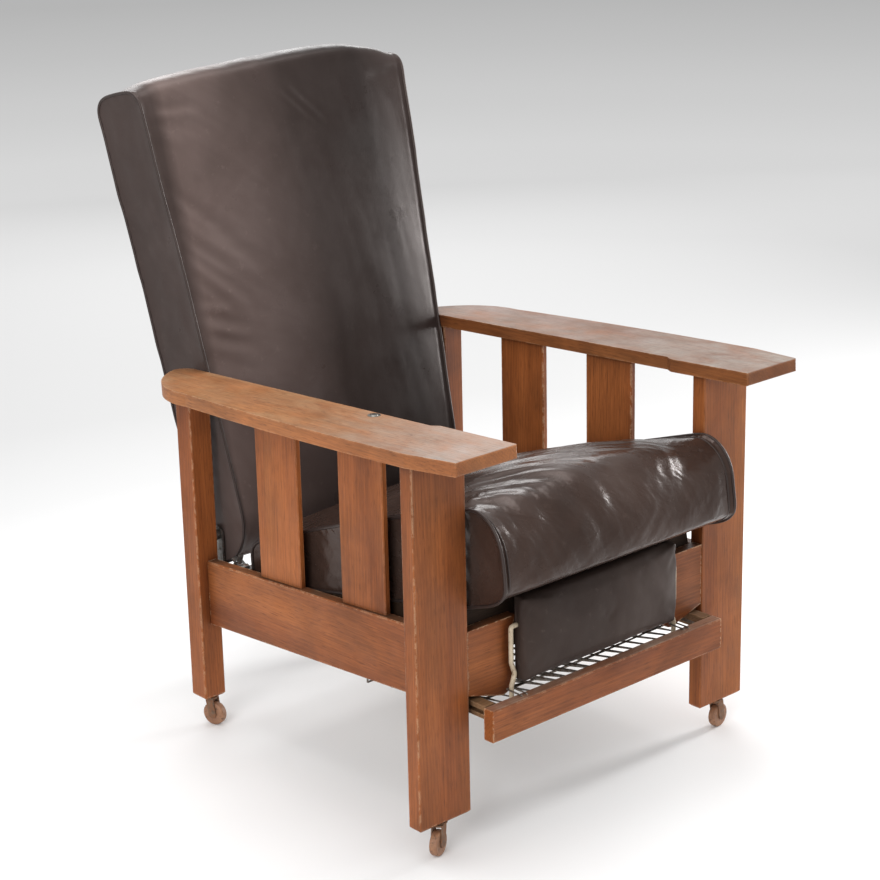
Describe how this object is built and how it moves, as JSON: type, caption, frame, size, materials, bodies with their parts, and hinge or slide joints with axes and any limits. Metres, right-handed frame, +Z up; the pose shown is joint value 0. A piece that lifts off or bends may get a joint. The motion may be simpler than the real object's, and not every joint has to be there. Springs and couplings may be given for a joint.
{
  "type": "reclining armchair",
  "caption": "Oak armchair with a sprung leather seat, a hinged back held by a push-button clutch, a leg rest that pulls out on a basket carriage, and castors.",
  "frame": {"origin": "on the floor under the middle of the whole chair's box", "axes": "+X to the right seen from the front, +Y to the rear, +Z up"},
  "size_m": [0.7554, 0.9449, 1.0933],
  "materials": {
    "oak": "worn satin varnish over reddish-brown oak",
    "arm_oak": "worn satin varnish, lighter than the rest",
    "inner_wood": "plain unpolished hardwood",
    "leather": "soft dark leather with a low sheen",
    "back_cloth": "dark cloth lining",
    "webbing": "woven jute webbing",
    "dark_steel": "plain dulled steel",
    "nickel": "dulled nickel plate",
    "cream_rod": "worn cream paint",
    "basket_wire": "dulled bare wire",
    "caster_iron": "rusted iron",
    "caster_roller": "dark worn roller"
  },
  "bodies": {
    "frame": {"front_post_left": "oak", "front_post_right": "oak", "back_post_left": "oak", "back_post_right": "oak", "arm_left": "arm_oak", "arm_right": "arm_oak", "side_rail_left": "oak", "side_rail_right": "oak", "front_slat_left": "oak", "front_slat_right": "oak", "rear_slat_left": "oak", "rear_slat_right": "oak", "front_bracket_left": "oak", "front_bracket_right": "oak", "front_cross_rail": "inner_wood", "seat_rest_rail": "inner_wood", "rear_cross_rail": "oak", "seat_bar_left": "inner_wood", "seat_bar_right": "inner_wood", "seat_bar_front": "inner_wood", "seat_bar_rear": "inner_wood", "seat_webbing": "webbing", "seat_cushion": "leather", "runner_guides": "inner_wood", "back_pivot_pins": "dark_steel", "clutch_bracket": "dark_steel", "crank_pivot": "dark_steel", "button_plate": "nickel", "caster_sockets": "caster_iron"},
    "back": {"back_cushion": "leather", "back_stile_left": "inner_wood", "back_stile_right": "inner_wood", "back_top_rail": "inner_wood", "back_mid_rail": "inner_wood", "back_bottom_rail": "inner_wood", "back_panel": "back_cloth", "recline_quadrant": "dark_steel", "hinge_plate_right": "dark_steel"},
    "release_button": {"push_button": "nickel", "push_rod": "dark_steel"},
    "crank": {"bell_crank": "dark_steel"},
    "link": {"link_rod": "dark_steel"},
    "clutch": {"clutch_lever": "dark_steel"},
    "carriage": {"footboard": "oak", "carriage_runner_left": "inner_wood", "carriage_runner_right": "inner_wood", "carriage_tail_bar": "inner_wood", "wire_basket": "basket_wire", "support_rods": "cream_rod", "rod_staples": "basket_wire"},
    "leg_rest": {"leg_board": "inner_wood", "leg_pad": "leather"},
    "fork_front_left": {"caster_fork_front_left": "caster_iron"},
    "wheel_front_left": {"caster_wheel_front_left": "caster_roller"},
    "fork_front_right": {"caster_fork_front_right": "caster_iron"},
    "wheel_front_right": {"caster_wheel_front_right": "caster_roller"},
    "fork_back_left": {"caster_fork_back_left": "caster_iron"},
    "wheel_back_left": {"caster_wheel_back_left": "caster_roller"},
    "fork_back_right": {"caster_fork_back_right": "caster_iron"},
    "wheel_back_right": {"caster_wheel_back_right": "caster_roller"}
  },
  "joints": [
    {"name": "back_recline", "type": "hinge", "parent": "frame", "child": "back", "pos_m": [0, 0.25443, 0.33], "axis": [-1, 0, 0], "range_deg": [0, 32]},
    {"name": "button_press", "type": "slide", "parent": "frame", "child": "release_button", "axis": [0, 0, -1], "range_m": [0, 0.006]},
    {"name": "crank_turn", "type": "hinge", "parent": "frame", "child": "crank", "pos_m": [-0.264, -0.16457, 0.2785], "axis": [1, 0, 0], "range_deg": [0, 15]},
    {"name": "link_pull", "type": "slide", "parent": "frame", "child": "link", "axis": [0, 1, 0], "range_m": [0, 0.00627]},
    {"name": "clutch_tilt", "type": "hinge", "parent": "frame", "child": "clutch", "pos_m": [-0.2452, 0.18026, 0.29056], "axis": [1, 0, 0], "range_deg": [0, 9.98]},
    {"name": "carriage_slide", "type": "slide", "parent": "frame", "child": "carriage", "axis": [0, -1, 0], "range_m": [0, 0.3]},
    {"name": "leg_rest_tilt", "type": "hinge", "parent": "carriage", "child": "leg_rest", "pos_m": [0, -0.38457, 0.331], "axis": [-1, 0, 0], "range_deg": [0, 40]},
    {"name": "swivel_front_left", "type": "hinge", "parent": "frame", "child": "fork_front_left", "pos_m": [-0.309, -0.36257, 0.052], "axis": [0, 0, 1], "continuous": true},
    {"name": "roll_front_left", "type": "hinge", "parent": "fork_front_left", "child": "wheel_front_left", "pos_m": [-0.31821, -0.36648, 0.02], "axis": [0.3907, -0.9205, 0], "continuous": true},
    {"name": "swivel_front_right", "type": "hinge", "parent": "frame", "child": "fork_front_right", "pos_m": [0.309, -0.36257, 0.052], "axis": [0, 0, 1], "continuous": true},
    {"name": "roll_front_right", "type": "hinge", "parent": "fork_front_right", "child": "wheel_front_right", "pos_m": [0.3189, -0.36118, 0.02], "axis": [-0.1392, 0.9903, 0], "continuous": true},
    {"name": "swivel_back_left", "type": "hinge", "parent": "frame", "child": "fork_back_left", "pos_m": [-0.279, 0.25143, 0.052], "axis": [0, 0, 1], "continuous": true},
    {"name": "roll_back_left", "type": "hinge", "parent": "fork_back_left", "child": "wheel_back_left", "pos_m": [-0.27558, 0.24203, 0.02], "axis": [0.9397, 0.342, 0], "continuous": true},
    {"name": "swivel_back_right", "type": "hinge", "parent": "frame", "child": "fork_back_right", "pos_m": [0.279, 0.25143, 0.052], "axis": [0, 0, 1], "continuous": true},
    {"name": "roll_back_right", "type": "hinge", "parent": "fork_back_right", "child": "wheel_back_right", "pos_m": [0.28666, 0.25786, 0.02], "axis": [-0.6428, 0.766, 0], "continuous": true}
  ],
  "couplings": [
    {"joint": "crank_turn", "follows": "button_press", "rad_per_m": 43.633},
    {"joint": "link_pull", "follows": "button_press", "ratio": 1.0442},
    {"joint": "clutch_tilt", "follows": "button_press", "rad_per_m": 29.043},
    {"joint": "leg_rest_tilt", "follows": "carriage_slide", "rad_per_m": 2.3271}
  ]
}
